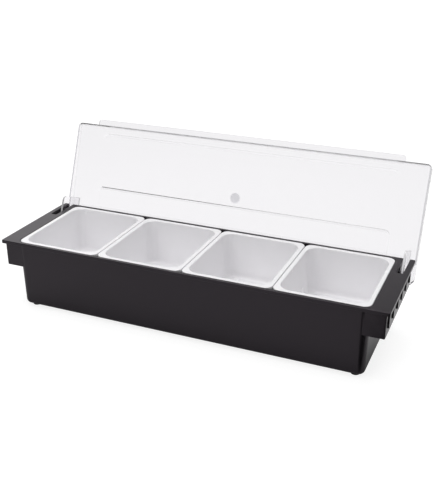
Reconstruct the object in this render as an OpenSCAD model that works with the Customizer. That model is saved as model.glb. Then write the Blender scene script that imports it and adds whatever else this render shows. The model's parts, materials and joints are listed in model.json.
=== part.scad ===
// Condiment caddy: a stepped tub with four lift-out trays and one clear hinged lid.
// Millimetres. The origin is the middle of the plane that the feet rest on;
// X runs along the caddy, Y points to the back, Z points up.

/* [Base] */
// Length of the rim, end to end
base_length = 500; // [440:1:600]
// Depth of the rim, front to back
base_depth = 147; // [135:1:180]
// Height of the tub from its underside to the top of the rim
base_height = 88; // [80:1:110]
// Thickness of the tub's walls and floor
base_wall = 2.6; // [2.2:0.1:3.2]
// Thickness of the rim
rim_thickness = 4.3; // [3.6:0.1:6]
// Radius of the rim's corners
rim_corner = 2; // [1:0.5:8]
// Width of the flat ledge outside the trays at each end
end_ledge = 22; // [20:0.5:30]
// Width of the rim strip in front of the trays and behind them
rim_strip = 4.5; // [4.2:0.1:6]
// How far the rim stands out past the front and rear walls
rim_overhang = 2.2; // [1:0.1:3]
// Radius of the tub's upright corners, at the rim
tub_corner = 10; // [9:0.5:16]
// How far each wall of the tub leans in towards the floor
tub_draft = 1.7; // [0.5:0.1:3]
// Radius along the bottom edge of the tub, on the outside
tub_fillet = 6; // [3:0.5:6]
// Width of the shelf that carries the trays along the front and rear walls
shelf_width = 2.7; // [2:0.1:3]

/* [Grip ears] */
// How far the hollow ears reach down from the top of the rim
ear_height = 34.5; // [30:0.5:50]
// How far the rim stands out past the end face of an ear
ear_overhang = 4; // [2:0.5:6]
// How far the ears' front and rear faces are set back from the tub's
ear_setback = 1; // [0.5:0.1:3]
// Distance between the ribs on an ear
rib_pitch = 24; // [18:1:26]
// Thickness of a rib
rib_thickness = 2.2; // [1.5:0.1:3]
// How far a rib reaches down from the top of the rim
rib_height = 25; // [15:1:30]
// How far a rib stands out from the end face of an ear
rib_reach = 1.8; // [1:0.1:2]

/* [Feet] */
// Diameter of a foot
foot_diameter = 11; // [6:0.5:14]
// Height of a foot
foot_height = 3.5; // [2:0.1:6]
// Bevel around a foot's lower edge
foot_bevel = 0.8; // [0.4:0.1:1.5]
// Distance from a foot to the edges of the tub's flat underside
foot_margin = 0.2; // [0.2:0.2:20]

/* [Trays] */
// Gap between a tray's rim and what surrounds it
tray_gap = 0.5; // [0.3:0.1:1]
// Height of a tray
tray_height = 62; // [45:1:70]
// Thickness of a tray's walls and floor
tray_wall = 2; // [1.5:0.1:2.5]
// Width of a tray's rim, from its edge to the opening
tray_rim = 5.4; // [5:0.1:7]
// Radius of the corners of a tray's rim
tray_rim_corner = 9; // [4:0.5:12]
// Radius of the corners of a tray's opening
tray_corner = 15; // [14:0.5:20]
// How far each wall of a tray leans in towards its floor
tray_draft = 5; // [2:0.5:6]
// Radius between a tray's walls and its floor, on the inside
tray_fillet = 7; // [3:0.5:8]
// Thickness of the lip that turns down around a tray's rim
tray_lip_wall = 1.6; // [1.2:0.1:2]
// Gap between a tray's rim and the shelf below it
seat_gap = 0.3; // [0.1:0.1:0.5]

/* [Lid] */
// Thickness of the lid
lid_wall = 2; // [1.5:0.1:2.5]
// Height of the lid above the rim, at the front
lid_front_height = 8; // [7:0.5:12]
// Height of the lid above the rim, at the back
lid_rear_height = 14; // [12:0.5:24]
// How far the lid's front wall stands in front of the rim
lid_front_reach = 1.5; // [0:0.1:3]
// How far the lid's rear wall stands behind the rim
lid_rear_reach = 1.8; // [0:0.1:2.5]
// Gap between the closed lid and the rim
lid_gap = 0.3; // [0.2:0.1:1]
// Gap between the rim and the lid's rear wall, which swings down behind the tub
lid_rear_gap = 3; // [2.5:0.1:5]
// Radius of the lid's front corners
lid_front_corner = 6; // [3:0.5:12]
// Radius of the lid's rear corners
lid_rear_corner = 8; // [3:0.5:14]
// Radius along the lid's front and rear top edges
lid_edge = 3; // [2.2:0.2:5]
// Width of the lip along the front, by which the lid is lifted
lip_width = 435; // [200:1:480]
// How far the lip stands out in front of the lid
lip_reach = 7.5; // [4:0.5:14]
// Thickness of the lip
lip_thickness = 2.4; // [1.5:0.1:4]
// Radius of the lip's corners
lip_corner = 4; // [1:0.5:4]
// Width of the raised panels on the lid
panel_width = 421; // [200:1:450]
// Height of the raised panels above the lid
panel_rise = 1.6; // [0.8:0.1:2]
// Radius of the panels' corners
panel_corner = 7; // [5:0.5:12]
// Distance from the lid's front wall to the front panel
front_panel_start = 11; // [8:1:20]
// Length of the front panel, which slopes down to nothing
front_panel_length = 47; // [30:1:60]
// Distance from the lid's front wall to the rear panel
rear_panel_start = 87; // [80:1:100]
// Diameter of the round gate mark in the middle of the lid
gate_diameter = 11; // [6:0.5:16]
// Height of the gate mark above the lid
gate_rise = 0.4; // [0.2:0.1:1]
// How far the lid stands open, from closed
lid_open_angle = 112; // [100:1:120]

/* [Hinge] */
// Distance from the rim's rear edge forward to the hinge axis
hinge_inset = 12.5; // [11:0.5:14]
// Depth of the hinge axis below the top of the rim
hinge_drop = 15; // [14:0.5:16]
// Distance from the end of the rim to the middle of a hinge tab
tab_inset = 10.75; // [10.5:0.05:11.5]
// Thickness of a hinge tab
tab_thickness = 2.5; // [2:0.1:3]
// Distance from the hinge axis forward to the front edge of a tab
tab_front = 28.5; // [20:0.5:32]
// Distance from the hinge axis back to the rear edge of a tab
tab_rear = 5; // [4:0.5:6]
// Distance from the hinge axis down to the lower edge of a tab
tab_drop = 16; // [10:0.5:18]
// Radius of a tab's lower front corner
tab_corner = 6; // [3:0.5:8]
// Width of the slot that a tab passes through
slot_width = 7.5; // [6:0.1:8]
// Diameter of the hinge pins
pin_diameter = 5; // [3:0.5:6]
// Gap all round between a hinge pin and its bore
pin_clearance = 0.08; // [0.04:0.01:0.1]
// Thickness of the ear's wall left outside a blind pin bore
bore_skin = 1; // [0.8:0.1:1.4]
// Width of the plate beside each slot, around its pin bore
cheek_margin = 5; // [4:0.5:7]
// Gap between the lid and what it passes or stops against
swing_gap = 0.4; // [0.3:0.1:1]

/* [Hidden] */
$fn = 64;
eps = 0.01;

tray_count = 4;
rib_count = 6;
rim_top = foot_height + base_height;
rim_under = rim_top - rim_thickness;

// Tub: half sizes of its outside at the rim, and of the opening that takes the trays
tub_x = base_length / 2 - end_ledge;
tub_y = base_depth / 2 - rim_overhang;
recess_y = base_depth / 2 - rim_strip;
shelf_y = tub_y - base_wall - shelf_width;
// The underside's flat middle ends where the fillets begin
flat_x = tub_x - tub_draft - tub_fillet;
flat_y = tub_y - tub_draft - tub_fillet;
foot_x = flat_x - foot_margin - foot_diameter / 2;
foot_y = flat_y - foot_margin - foot_diameter / 2;
collar_x = tub_x + base_wall;

// Ears: outer faces
ear_x = base_length / 2 - ear_overhang;
ear_y = tub_y - ear_setback;
ear_bottom = rim_top - ear_height;
ear_roof = rim_top - base_wall;

// Trays
tray_pitch = 2 * tub_x / tray_count;
tray_x = tray_pitch / 2 - tray_gap;
tray_y = recess_y - tray_gap;
tray_lip = rim_thickness - seat_gap;
tray_bottom = rim_top - tray_height;

// Lid, drawn closed
lid_x = base_length / 2;
lid_front = -base_depth / 2 - lid_front_reach;
lid_rear = base_depth / 2 + lid_rear_reach;
lid_bottom = rim_top + lid_gap;

// Hinge
hinge_y = base_depth / 2 - hinge_inset;
hinge_z = rim_top - hinge_drop;
tab_x = base_length / 2 - tab_inset;
bore_diameter = pin_diameter + 2 * pin_clearance;
cheek_inner = tab_x - slot_width / 2 - base_wall;
blind_depth = base_wall - bore_skin;
// The farthest that a tab's rounded front corner reaches from the hinge axis
tab_swing = norm([tab_front - tab_corner, tab_drop - tab_corner]) + tab_corner;
slot_front = hinge_y - tab_swing - swing_gap;
// The rim's rear edge is the farthest thing that the lid's walls pass
lid_swing = norm([hinge_inset, hinge_drop]) + swing_gap;
// Open, the rear edge of each tab comes down on the sill of its slot
lean = lid_open_angle - 90;
sill_run = ear_y - hinge_y + tab_rear * sin(lean);
sill_z = hinge_z - tab_rear * cos(lean) - sill_run * tan(lean) - swing_gap / cos(lean);
cheek_reach = bore_diameter / 2 + cheek_margin;

// Points of an arc about a centre, from one angle to another
function arc(centre, radius, from, to, steps = 8) =
    [for (i = [0:steps]) let (a = from + (to - from) * i / steps)
        centre + radius * [cos(a), sin(a)]];

// Outline from the axis out to a wall that leans out by draft over its height,
// with a fillet at the bottom; reach is the wall's distance from the axis at the top
function wall_profile(reach, height, draft, fillet) =
    let (slope = atan(draft / height))
    concat(
        [[0, 0]],
        arc([reach - draft - fillet * (1 / cos(slope) - tan(slope)), fillet],
            fillet, -90, -slope),
        [[reach, height], [0, height]]);

module rounded_plan(half_x, half_y, radius) {
    square([2 * half_x, 2 * (half_y - radius)], center = true);
    square([2 * (half_x - radius), 2 * half_y], center = true);
    for (x = [-1, 1], y = [-1, 1])
        translate([x * (half_x - radius), y * (half_y - radius)]) circle(r = radius);
}

// A rounded plan with different corner radii at the front and the rear
module lid_plan(half_x, front, rear, front_radius, rear_radius) {
    middle = (front + rear) / 2;
    translate([-half_x, front + front_radius])
        square([2 * half_x, rear - front - front_radius - rear_radius]);
    translate([-half_x + front_radius, front])
        square([2 * (half_x - front_radius), middle - front]);
    translate([-half_x + rear_radius, middle])
        square([2 * (half_x - rear_radius), rear - middle]);
    for (side = [-1, 1]) {
        translate([side * (half_x - front_radius), front + front_radius])
            circle(r = front_radius);
        translate([side * (half_x - rear_radius), rear - rear_radius])
            circle(r = rear_radius);
    }
}

// A profile in Y and Z, drawn out along X and centred on it
module along_x(length) {
    rotate([90, 0, 90]) linear_extrude(length, center = true) children();
}

// A block with rounded corners whose walls lean in towards a filleted bottom
module drafted_block(half_x, half_y, corner, height, draft, fillet) {
    core_x = half_x - corner;
    core_y = half_y - corner;
    side = wall_profile(corner, height, draft, fillet);
    for (quarter = [0:3]) {
        x = (quarter == 0 || quarter == 3 ? 1 : -1) * core_x;
        y = (quarter < 2 ? 1 : -1) * core_y;
        translate([x, y, 0]) rotate([0, 0, 90 * quarter])
            rotate_extrude(angle = 90) polygon(side);
    }
    for (side_x = [0, 1]) mirror([side_x, 0, 0]) translate([core_x, core_y, 0])
        rotate([90, 0, 0]) linear_extrude(2 * core_y) polygon(side);
    for (side_y = [0, 1]) mirror([0, side_y, 0]) translate([-core_x, core_y, 0])
        rotate([90, 0, 90]) linear_extrude(2 * core_x) polygon(side);
    translate([-core_x, -core_y, 0]) cube([2 * core_x, 2 * core_y, height]);
}

module rim_plate() {
    // The rim, thinned to one wall over each hollow ear
    inner_y = ear_y - base_wall;
    translate([0, 0, rim_under]) difference() {
        linear_extrude(rim_thickness) rounded_plan(base_length / 2, base_depth / 2, rim_corner);
        for (end = [0, 1]) mirror([end, 0, 0]) translate([collar_x, -inner_y, -eps])
            cube([ear_x - base_wall - collar_x, 2 * inner_y, ear_roof - rim_under + eps]);
    }
}

module ear_skirt() {
    // End, front and rear walls of one hollow ear, open below
    depth = rim_under - ear_bottom + eps;
    translate([tub_x - tub_corner, -ear_y, ear_bottom]) difference() {
        cube([ear_x - tub_x + tub_corner, 2 * ear_y, depth]);
        translate([-eps, base_wall, -eps])
            cube([ear_x - tub_x + tub_corner - base_wall + eps,
                  2 * (ear_y - base_wall), depth + 2 * eps]);
    }
}

module ear_rib() {
    // A fin on the ear's end face, from the rim down
    translate([ear_x - eps, -rib_thickness / 2, rim_top - rib_height])
        cube([rib_reach + eps, rib_thickness, rib_height - rim_thickness + eps]);
}

module bearing_cheek() {
    // The plate beside the slot that carries the inner hinge pin
    front = hinge_y - cheek_reach;
    bottom = hinge_z - cheek_reach;
    translate([cheek_inner, front, bottom])
        cube([base_wall, ear_y - base_wall / 2 - front, ear_roof - bottom + eps]);
}

module tray_shelf() {
    // The bead along a long wall that the trays' rims rest on
    top = rim_under;
    wall_face = tub_y - base_wall / 2;
    along_x(2 * (tub_x - tub_corner))
        polygon([[shelf_y, top], [shelf_y, top - base_wall / 2],
                 [wall_face, top - base_wall / 2 - (wall_face - shelf_y)],
                 [wall_face, top]]);
}

module hinge_slot() {
    translate([tab_x - slot_width / 2, slot_front, rim_under - eps])
        cube([slot_width, base_depth, rim_thickness + 2 * eps]);
    translate([tab_x - slot_width / 2, ear_y - base_wall - eps, sill_z])
        cube([slot_width, base_depth, rim_top - sill_z + eps]);
}

module hinge_bores() {
    translate([cheek_inner - eps, hinge_y, hinge_z]) rotate([0, 90, 0])
        cylinder(d = bore_diameter, h = base_wall + 2 * eps);
    translate([ear_x - base_wall - eps, hinge_y, hinge_z]) rotate([0, 90, 0])
        cylinder(d = bore_diameter, h = blind_depth + eps);
}

module base() {
    color([0.16, 0.16, 0.17]) difference() {
        union() {
            translate([0, 0, foot_height])
                drafted_block(tub_x, tub_y, tub_corner, base_height - rim_thickness / 2,
                              tub_draft, tub_fillet);
            rim_plate();
            translate([0, 0, rim_under - base_wall]) linear_extrude(base_wall + eps)
                square([2 * collar_x, 2 * ear_y], center = true);
            for (end = [0, 1]) mirror([end, 0, 0]) {
                ear_skirt();
                bearing_cheek();
                for (i = [0:rib_count - 1])
                    translate([0, (i - (rib_count - 1) / 2) * rib_pitch, 0]) ear_rib();
            }
        }
        translate([0, 0, rim_under]) linear_extrude(rim_thickness + eps)
            rounded_plan(tub_x, recess_y, tray_rim_corner + tray_gap);
        difference() {
            translate([0, 0, foot_height + base_wall])
                drafted_block(tub_x - base_wall, tub_y - base_wall, tub_corner - base_wall,
                              base_height - base_wall - rim_thickness + eps,
                              tub_draft, tub_fillet - base_wall);
            for (side = [0, 1]) mirror([0, side, 0]) tray_shelf();
        }
        for (end = [0, 1]) mirror([end, 0, 0]) {
            hinge_slot();
            hinge_bores();
        }
    }
}

module foot(i) {
    side_x = i % 2 == 1 ? -1 : 1;
    side_y = i <= 2 ? -1 : 1;
    color([0.1, 0.1, 0.1])
        translate([side_x * foot_x, side_y * foot_y, 0]) rotate_extrude() polygon([
            [0, 0], [foot_diameter / 2 - foot_bevel, 0],
            [foot_diameter / 2, foot_bevel], [foot_diameter / 2, foot_height],
            [0, foot_height]]);
}

module hollow_rim() {
    // A flat rim with a lip that turns down around it, hollow below
    translate([0, 0, rim_top - tray_lip]) difference() {
        linear_extrude(tray_lip) rounded_plan(tray_x, tray_y, tray_rim_corner);
        translate([0, 0, -eps]) linear_extrude(tray_lip - tray_wall + eps)
            rounded_plan(tray_x - tray_lip_wall, tray_y - tray_lip_wall,
                         tray_rim_corner - tray_lip_wall);
    }
}

module tray(i) {
    // A drafted pan hung from its rim
    body_x = tray_x - tray_rim;
    body_y = tray_y - tray_rim;
    color([0.93, 0.93, 0.92])
        translate([(i - (tray_count + 1) / 2) * tray_pitch, 0, 0]) difference() {
            union() {
                translate([0, 0, tray_bottom])
                    drafted_block(body_x + tray_wall, body_y + tray_wall,
                                  tray_corner + tray_wall, tray_height - tray_wall / 2,
                                  tray_draft, tray_fillet + tray_wall);
                hollow_rim();
            }
            translate([0, 0, tray_bottom + tray_wall])
                drafted_block(body_x, body_y, tray_corner, tray_height - tray_wall + eps,
                              tray_draft, tray_fillet);
        }
}

// Height of the lid's top surface above its lower edge, at a distance from its front wall
function lid_height(run) =
    lid_front_height + (lid_rear_height - lid_front_height) * run / (lid_rear - lid_front);

module lid_shell(inset) {
    // The lid's outside when inset is 0, and its hollow when inset is its wall
    depth = lid_rear - lid_front;
    edge = lid_edge - inset;
    low = inset > 0 ? -eps : 0;
    translate([0, 0, lid_bottom]) {
        intersection() {
            along_x(2 * lid_x) polygon(concat(
                [[lid_rear - inset, low], [lid_front + inset, low]],
                arc([lid_front + lid_edge, lid_height(lid_edge) - lid_edge], edge, 180, 92),
                arc([lid_rear - lid_edge, lid_height(depth - lid_edge) - lid_edge],
                    edge, 92, 0)));
            linear_extrude(2 * lid_rear_height) lid_plan(lid_x - inset, lid_front + inset,
                lid_rear - inset, lid_front_corner - inset, lid_rear_corner - inset);
        }
    }
}

// Side view of a raised panel between two distances from the lid's front wall
function panel_profile(from, to, from_rise, to_rise, sink) = [
    [lid_front + from, lid_height(from) - sink - lid_wall / 2],
    [lid_front + from, lid_height(from) - sink + from_rise],
    [lid_front + to, lid_height(to) - sink + to_rise],
    [lid_front + to, lid_height(to) - sink - lid_wall / 2]];

module raised_panels(inset, sink) {
    half = panel_width / 2 - inset;
    radius = panel_corner - inset;
    front = front_panel_start + inset;
    fade = front_panel_start + front_panel_length;
    crease = rear_panel_start + inset;
    stop = lid_rear - lid_front - lid_edge - inset;
    translate([0, 0, lid_bottom]) {
        intersection() {
            along_x(2 * half) polygon(panel_profile(front, fade, panel_rise, 0, sink));
            linear_extrude(2 * lid_rear_height)
                lid_plan(half, lid_front + front, lid_front + fade + radius, radius, radius);
        }
        intersection() {
            along_x(2 * half)
                polygon(panel_profile(crease, stop, panel_rise, panel_rise, sink));
            linear_extrude(2 * lid_rear_height)
                lid_plan(half, lid_front + crease, lid_front + stop, radius, lid_edge);
        }
    }
}

module lift_lip() {
    front = lid_front - lip_reach;
    translate([0, 0, lid_bottom]) linear_extrude(lip_thickness)
        lid_plan(lip_width / 2, front, lid_front + lid_wall, lip_corner, lid_wall / 2);
}

module gate_mark() {
    // The round witness of the mould's gate, in the middle of the lid
    run = (lid_rear - lid_front) / 2;
    translate([0, lid_front + run, lid_bottom + lid_height(run) - lid_wall / 2])
        cylinder(d = gate_diameter, h = lid_wall / 2 + gate_rise);
}

module hinge_tab() {
    // A plate under the lid, with a stub pin on each face; drawn at the positive end
    shoulder = tab_corner - tab_drop;
    under = lid_bottom - lid_wall / 2 - hinge_z;
    translate([tab_x, hinge_y, hinge_z]) {
        along_x(tab_thickness) {
            polygon([[-tab_front, shoulder], [tab_rear, shoulder],
                     [tab_rear, under + lid_height(hinge_y + tab_rear - lid_front)],
                     [-tab_front, under + lid_height(hinge_y - tab_front - lid_front)]]);
            translate([tab_corner - tab_front, -tab_drop])
                square([tab_front - tab_corner, tab_corner + eps]);
            translate([tab_corner - tab_front, shoulder]) circle(r = tab_corner);
            translate([0, tab_rear - tab_drop]) circle(r = tab_rear);
        }
        rotate([0, 90, 0]) translate([0, 0, cheek_inner - tab_x + swing_gap])
            cylinder(d = pin_diameter,
                     h = ear_x - base_wall + blind_depth - cheek_inner - 2 * swing_gap);
    }
}

module closed_lid() {
    difference() {
        union() {
            lid_shell(0);
            raised_panels(0, 0);
            gate_mark();
            lift_lip();
        }
        lid_shell(lid_wall);
        raised_panels(lid_wall, lid_wall);
        translate([0, hinge_y, hinge_z]) rotate([0, 90, 0])
            cylinder(r = lid_swing, h = 2 * base_length, center = true);
        translate([-lid_x - eps, base_depth / 2 - lid_wall, rim_top])
            cube([2 * lid_x + 2 * eps, lid_rear_reach + 2 * lid_wall, lid_rear_gap]);
    }
    for (end = [0, 1]) mirror([end, 0, 0]) hinge_tab();
}

module lid() {
    color([0.85, 0.88, 0.9, 0.4])
        translate([0, hinge_y, hinge_z]) rotate([-lid_open_angle, 0, 0])
            translate([0, -hinge_y, -hinge_z]) closed_lid();
}

base();
lid();
for (i = [1:tray_count]) tray(i);
for (i = [1:4]) foot(i);
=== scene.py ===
"""Looks of a condiment caddy: a black stepped tub, four white trays and one clear hinged lid.

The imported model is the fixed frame. Each sub-assembly below is a class that works its surfaces out
from a few sizes in millimetres, joins them into one closed solid and dresses it. Each solid rides
on its CAD body.
"""

import json
import logging
import math
from collections.abc import Mapping, Sequence
from dataclasses import dataclass
from enum import Enum

import bmesh
import bpy
import numpy as np
from mathutils import Matrix, Vector


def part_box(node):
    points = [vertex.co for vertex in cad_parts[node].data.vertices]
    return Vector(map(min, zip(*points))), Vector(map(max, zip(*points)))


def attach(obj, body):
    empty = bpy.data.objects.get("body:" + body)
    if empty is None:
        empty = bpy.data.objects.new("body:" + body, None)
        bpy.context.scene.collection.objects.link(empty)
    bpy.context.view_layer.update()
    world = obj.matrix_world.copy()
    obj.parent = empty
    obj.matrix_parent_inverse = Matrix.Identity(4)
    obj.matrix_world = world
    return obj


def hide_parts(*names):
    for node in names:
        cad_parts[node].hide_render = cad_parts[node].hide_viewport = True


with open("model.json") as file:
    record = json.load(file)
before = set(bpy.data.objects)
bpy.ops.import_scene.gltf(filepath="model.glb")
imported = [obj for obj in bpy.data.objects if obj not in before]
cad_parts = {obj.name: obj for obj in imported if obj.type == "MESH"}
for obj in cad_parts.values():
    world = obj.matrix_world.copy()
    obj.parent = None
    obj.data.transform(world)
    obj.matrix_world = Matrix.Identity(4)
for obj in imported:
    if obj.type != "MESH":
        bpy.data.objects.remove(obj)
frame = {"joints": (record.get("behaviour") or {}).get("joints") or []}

Array = np.ndarray
Tree = bpy.types.NodeTree
Socket = bpy.types.NodeSocket

MM = 0.001
# Parts in a corner's arc, in a very small one, and in a rounded edge.
ARC_STEPS = 8
FEW_STEPS = 3
EDGE_STEPS = 4
# How far a cutter runs on past what it cuts, and a piece that is joined on into its neighbour.
OVERSHOOT = 1.0
# Radius of a corner that is sharp to the eye.
NEARLY_SHARP = 0.05
SHARP_ANGLE = math.radians(38)
FLAT_ANGLE = math.radians(0.05)
# The trays' rims hang this far above their shelf, and the closed lid above the rim.
SEAT_GAP = 0.3
LID_GAP = 0.3
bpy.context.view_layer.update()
LOG = logging.getLogger("condiment_caddy")
# A noise's scale is one over the size of its blotches. Its value stays mostly within this span,
# and a Map Range node stretches that to the span that is wanted.
NOISE_SPAN = {"From Min": 0.3, "From Max": 0.7}
# Layers of ever finer noise in a grain or ripple, in slow clouds and in wear.
GRAIN_LAYERS, CLOUD_LAYERS, WEAR_LAYERS = 2.0, 3.0, 4.0
# A colour Mix node's two colours and its result by number, as its number sockets share their names.
MIX_FIRST, MIX_SECOND, MIX_RESULT = 6, 7, 2


# ---------------------------------------------------------------- surfaces


class Plane(Enum):
    """Where a flat outline lies: the directions in space of its two axes and of its height."""

    PLAN = ((1, 0, 0), (0, 1, 0), (0, 0, 1))
    SIDE = ((0, 1, 0), (0, 0, 1), (1, 0, 0))
    FRONT = ((1, 0, 0), (0, 0, 1), (0, -1, 0))


def edge_rounding(radius: float) -> tuple[Array, Array]:
    """Insets and shortfalls of a rounded edge.

    The inset is r (1 - cos t) and the shortfall |r| (1 - sin t), while t goes from 0 to 90 degrees.
    A negative radius flares outwards, so that a cutter leaves a rounded edge behind it.

    Args:
        radius: The edge's radius; 0 gives one sharp step.

    Returns:
        The insets and the distances short of the end, from the side to the end.
    """
    if radius == 0:
        return np.zeros(1), np.zeros(1)
    angle = np.linspace(0, math.pi / 2, EDGE_STEPS + 1)
    return radius * (1 - np.cos(angle)), abs(radius) * (1 - np.sin(angle))


@dataclass(frozen=True)
class Outline:
    """A closed flat curve, counter-clockwise, with its outward normals; both are (n, 2) arrays."""

    points: Array
    normals: Array

    @classmethod
    def filleted(cls, corners: Sequence[Sequence[float]], radii: float | Sequence[float],
                 steps: int = ARC_STEPS) -> "Outline":
        """Straight sides joined by arcs.

        A corner of turn t and radius r is cut back by r tan(t/2) along the side before it. Its arc
        is the centre plus r times the outward normal, while that normal turns by t.

        Args:
            corners: The corners, counter-clockwise.
            radii: Their radii, or one for all.
            steps: The number of parts in each arc.

        Returns:
            The outline, with steps + 1 points at each corner.
        """
        corner = np.asarray(corners, float)
        radius = np.broadcast_to(np.asarray(radii, float), len(corner))[:, None]
        before = corner - np.roll(corner, 1, axis=0)
        before /= np.linalg.norm(before, axis=1, keepdims=True)
        after = np.roll(before, -1, axis=0)
        cross = before[:, 0] * after[:, 1] - before[:, 1] * after[:, 0]
        turn = np.arctan2(cross, (before * after).sum(1))[:, None]
        angle = turn * np.linspace(0, 1, steps + 1)
        out = np.stack([before[:, 1], -before[:, 0]], 1)
        cos, sin = np.cos(angle), np.sin(angle)
        normals = np.stack([out[:, :1] * cos - out[:, 1:] * sin,
                            out[:, :1] * sin + out[:, 1:] * cos], -1)
        reach = np.sign(turn) * radius
        centre = corner - before * radius * np.tan(np.abs(turn) / 2) - reach * out
        points = centre[:, None] + reach[:, None] * normals
        return cls(points.reshape(-1, 2), normals.reshape(-1, 2))

    @classmethod
    def block(cls, half_x: float, front: float, rear: float, front_radius: float,
              rear_radius: float | None = None) -> "Outline":
        """A rounded rectangle, centred sideways.

        Args:
            half_x: Half its width.
            front: Its lowest second coordinate.
            rear: Its highest second coordinate.
            front_radius: Radius of the two corners at the front.
            rear_radius: Radius of the two at the rear; the front's if none is given.

        Returns:
            The outline.
        """
        rear_radius = front_radius if rear_radius is None else rear_radius
        return cls.filleted([(-half_x, front), (half_x, front), (half_x, rear), (-half_x, rear)],
                            [front_radius, front_radius, rear_radius, rear_radius])

    @classmethod
    def circle(cls, centre: tuple[float, float], radius: float, steps: int = 40) -> "Outline":
        """A circle: its centre plus the radius times the direction of each angle.

        Args:
            centre: Its centre.
            radius: Its radius.
            steps: The number of its points.

        Returns:
            The outline.
        """
        angle = np.linspace(0, 2 * math.pi, steps, endpoint=False)
        normals = np.stack([np.cos(angle), np.sin(angle)], 1)
        return cls(np.asarray(centre) + radius * normals, normals)

    def ring(self, inset: float | Array, height: float | Array) -> Array:
        """The curve moved in along its normals and lifted.

        Args:
            inset: How far in, one number or one for each point; negative is outwards.
            height: The third coordinate, likewise.

        Returns:
            Points, (n, 3).
        """
        count = len(self.points)
        moved = self.points - np.broadcast_to(inset, count)[:, None] * self.normals
        return np.column_stack([moved, np.broadcast_to(height, count)])

    def lower_rings(self, low: float, edge: float) -> list[Array]:
        """Rings round a rounded lower edge, from its end at low up to the side."""
        inset, short = edge_rounding(edge)
        return [self.ring(i, low + s) for i, s in zip(inset[::-1], short[::-1])]

    def upper_rings(self, high: float, edge: float) -> list[Array]:
        """Rings round a rounded upper edge, from the side up to its end at high."""
        return [self.ring(i, high - s) for i, s in zip(*edge_rounding(edge))]


def linked(name: str, data: bpy.types.ID) -> bpy.types.Object:
    """A new object of some data, put into the scene.

    Args:
        name: The object's name.
        data: Its mesh, lamp or camera.

    Returns:
        The object.
    """
    obj = bpy.data.objects.new(name, data)
    bpy.context.scene.collection.objects.link(obj)
    return obj


@dataclass(frozen=True)
class Shell:
    """One closed surface: its points, its quads and the polygons that close its two ends."""

    points: Array
    quads: Array
    caps: tuple[Array, Array]

    @classmethod
    def loft(cls, rings: Sequence[Array]) -> "Shell":
        """Rings of equal length joined in order.

        Quad (i, j) joins points j and j + 1 of ring i to the same points of ring i + 1, and the
        first and last rings are filled, the first one facing down.

        Args:
            rings: The rings, counter-clockwise, each an (n, 3) array.

        Returns:
            The closed shell.
        """
        count = len(rings[0])
        index = np.arange(len(rings) * count).reshape(len(rings), count)
        ahead = np.roll(index, -1, axis=1)
        quads = np.stack([index[:-1], ahead[:-1], ahead[1:], index[1:]], -1).reshape(-1, 4)
        return cls(np.concatenate(rings), quads, (index[0][::-1], index[-1]))

    def placed(self, plane: Plane) -> "Shell":
        """The shell with its own axes laid along a plane's: the points times the plane's rows."""
        return Shell(self.points @ np.array(plane.value, float), self.quads, self.caps)

    def mirrored(self, axis: int = 0) -> "Shell":
        """The shell reflected along an axis, with every face turned round again."""
        flipped = tuple(cap[::-1] for cap in self.caps)
        return Shell(self.points * (1 - 2 * np.eye(3)[axis]), self.quads[:, ::-1], flipped)

    def swung(self, angle: float, axis_y: float, axis_z: float) -> "Shell":
        """The shell turned about a line along X.

        Each point's offset from the line goes to (y cos a - z sin a, y sin a + z cos a).

        Args:
            angle: The turn in degrees, from Y towards Z.
            axis_y: The line's place.
            axis_z: The line's height.

        Returns:
            The turned shell.
        """
        cos, sin = math.cos(math.radians(angle)), math.sin(math.radians(angle))
        turn = np.array([[1, 0, 0], [0, cos, sin], [0, -sin, cos]])
        pivot = np.array([0, axis_y, axis_z])
        return Shell((self.points - pivot) @ turn + pivot, self.quads, self.caps)

    def moved(self, x: float) -> "Shell":
        """The shell moved along X."""
        return Shell(self.points + (x, 0, 0), self.quads, self.caps)

    def to_object(self, name: str) -> bpy.types.Object:
        """A new Blender object of this shell, in metres, at the origin.

        Args:
            name: The object's name, and its mesh's.

        Returns:
            The object.
        """
        mesh = bpy.data.meshes.new(name)
        faces = [*self.quads.tolist(), *(cap.tolist() for cap in self.caps)]
        mesh.from_pydata((self.points * MM).tolist(), [], faces)
        return linked(name, mesh)


def prism(outline: Outline, low: float, high: float, low_edge: float = 0.0,
          high_edge: float = 0.0, plane: Plane = Plane.PLAN) -> Shell:
    """An outline drawn out between two heights, with rounded ends.

    Args:
        outline: The section.
        low: The lower end.
        high: The upper end.
        low_edge: Radius of the lower end's edge; negative flares, and runs on past the end.
        high_edge: The same for the upper end.
        plane: The plane that the outline lies in.

    Returns:
        The closed shell.
    """
    rings = outline.lower_rings(low, low_edge) + outline.upper_rings(high, high_edge)
    if low_edge < 0:
        rings.insert(0, outline.ring(low_edge, low - OVERSHOOT))
    if high_edge < 0:
        rings.append(outline.ring(high_edge, high + OVERSHOOT))
    return Shell.loft(rings).placed(plane)


def drafted_rings(outline: Outline, bottom: float, height: float, draft: float, fillet: float,
                  top: float | None = None) -> list[Array]:
    """Rings of a wall that leans in towards a filleted bottom.

    The wall leans by a = atan(draft / height). The fillet's centre lies in by
    draft + r (1 / cos a - tan a) and up by r, and its arc runs from straight down to the wall.

    Args:
        outline: The wall's outline at the full height.
        bottom: Height of the bottom.
        height: The wall's full height.
        draft: How far the wall leans in over that height.
        fillet: The fillet's radius r.
        top: Where the wall ends; its full height if none is given.

    Returns:
        The rings, from the bottom up.
    """
    lean = math.atan2(draft, height)
    angle = np.linspace(-math.pi / 2, -lean, ARC_STEPS + 1)
    inset = draft + fillet * (1 / math.cos(lean) - math.tan(lean)) - fillet * np.cos(angle)
    rise = bottom + fillet * (1 + np.sin(angle))
    top = bottom + height if top is None else top
    rings = [outline.ring(i, z) for i, z in zip(inset, rise)]
    return [*rings, outline.ring(draft * (1 - (top - bottom) / height), top)]


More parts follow.
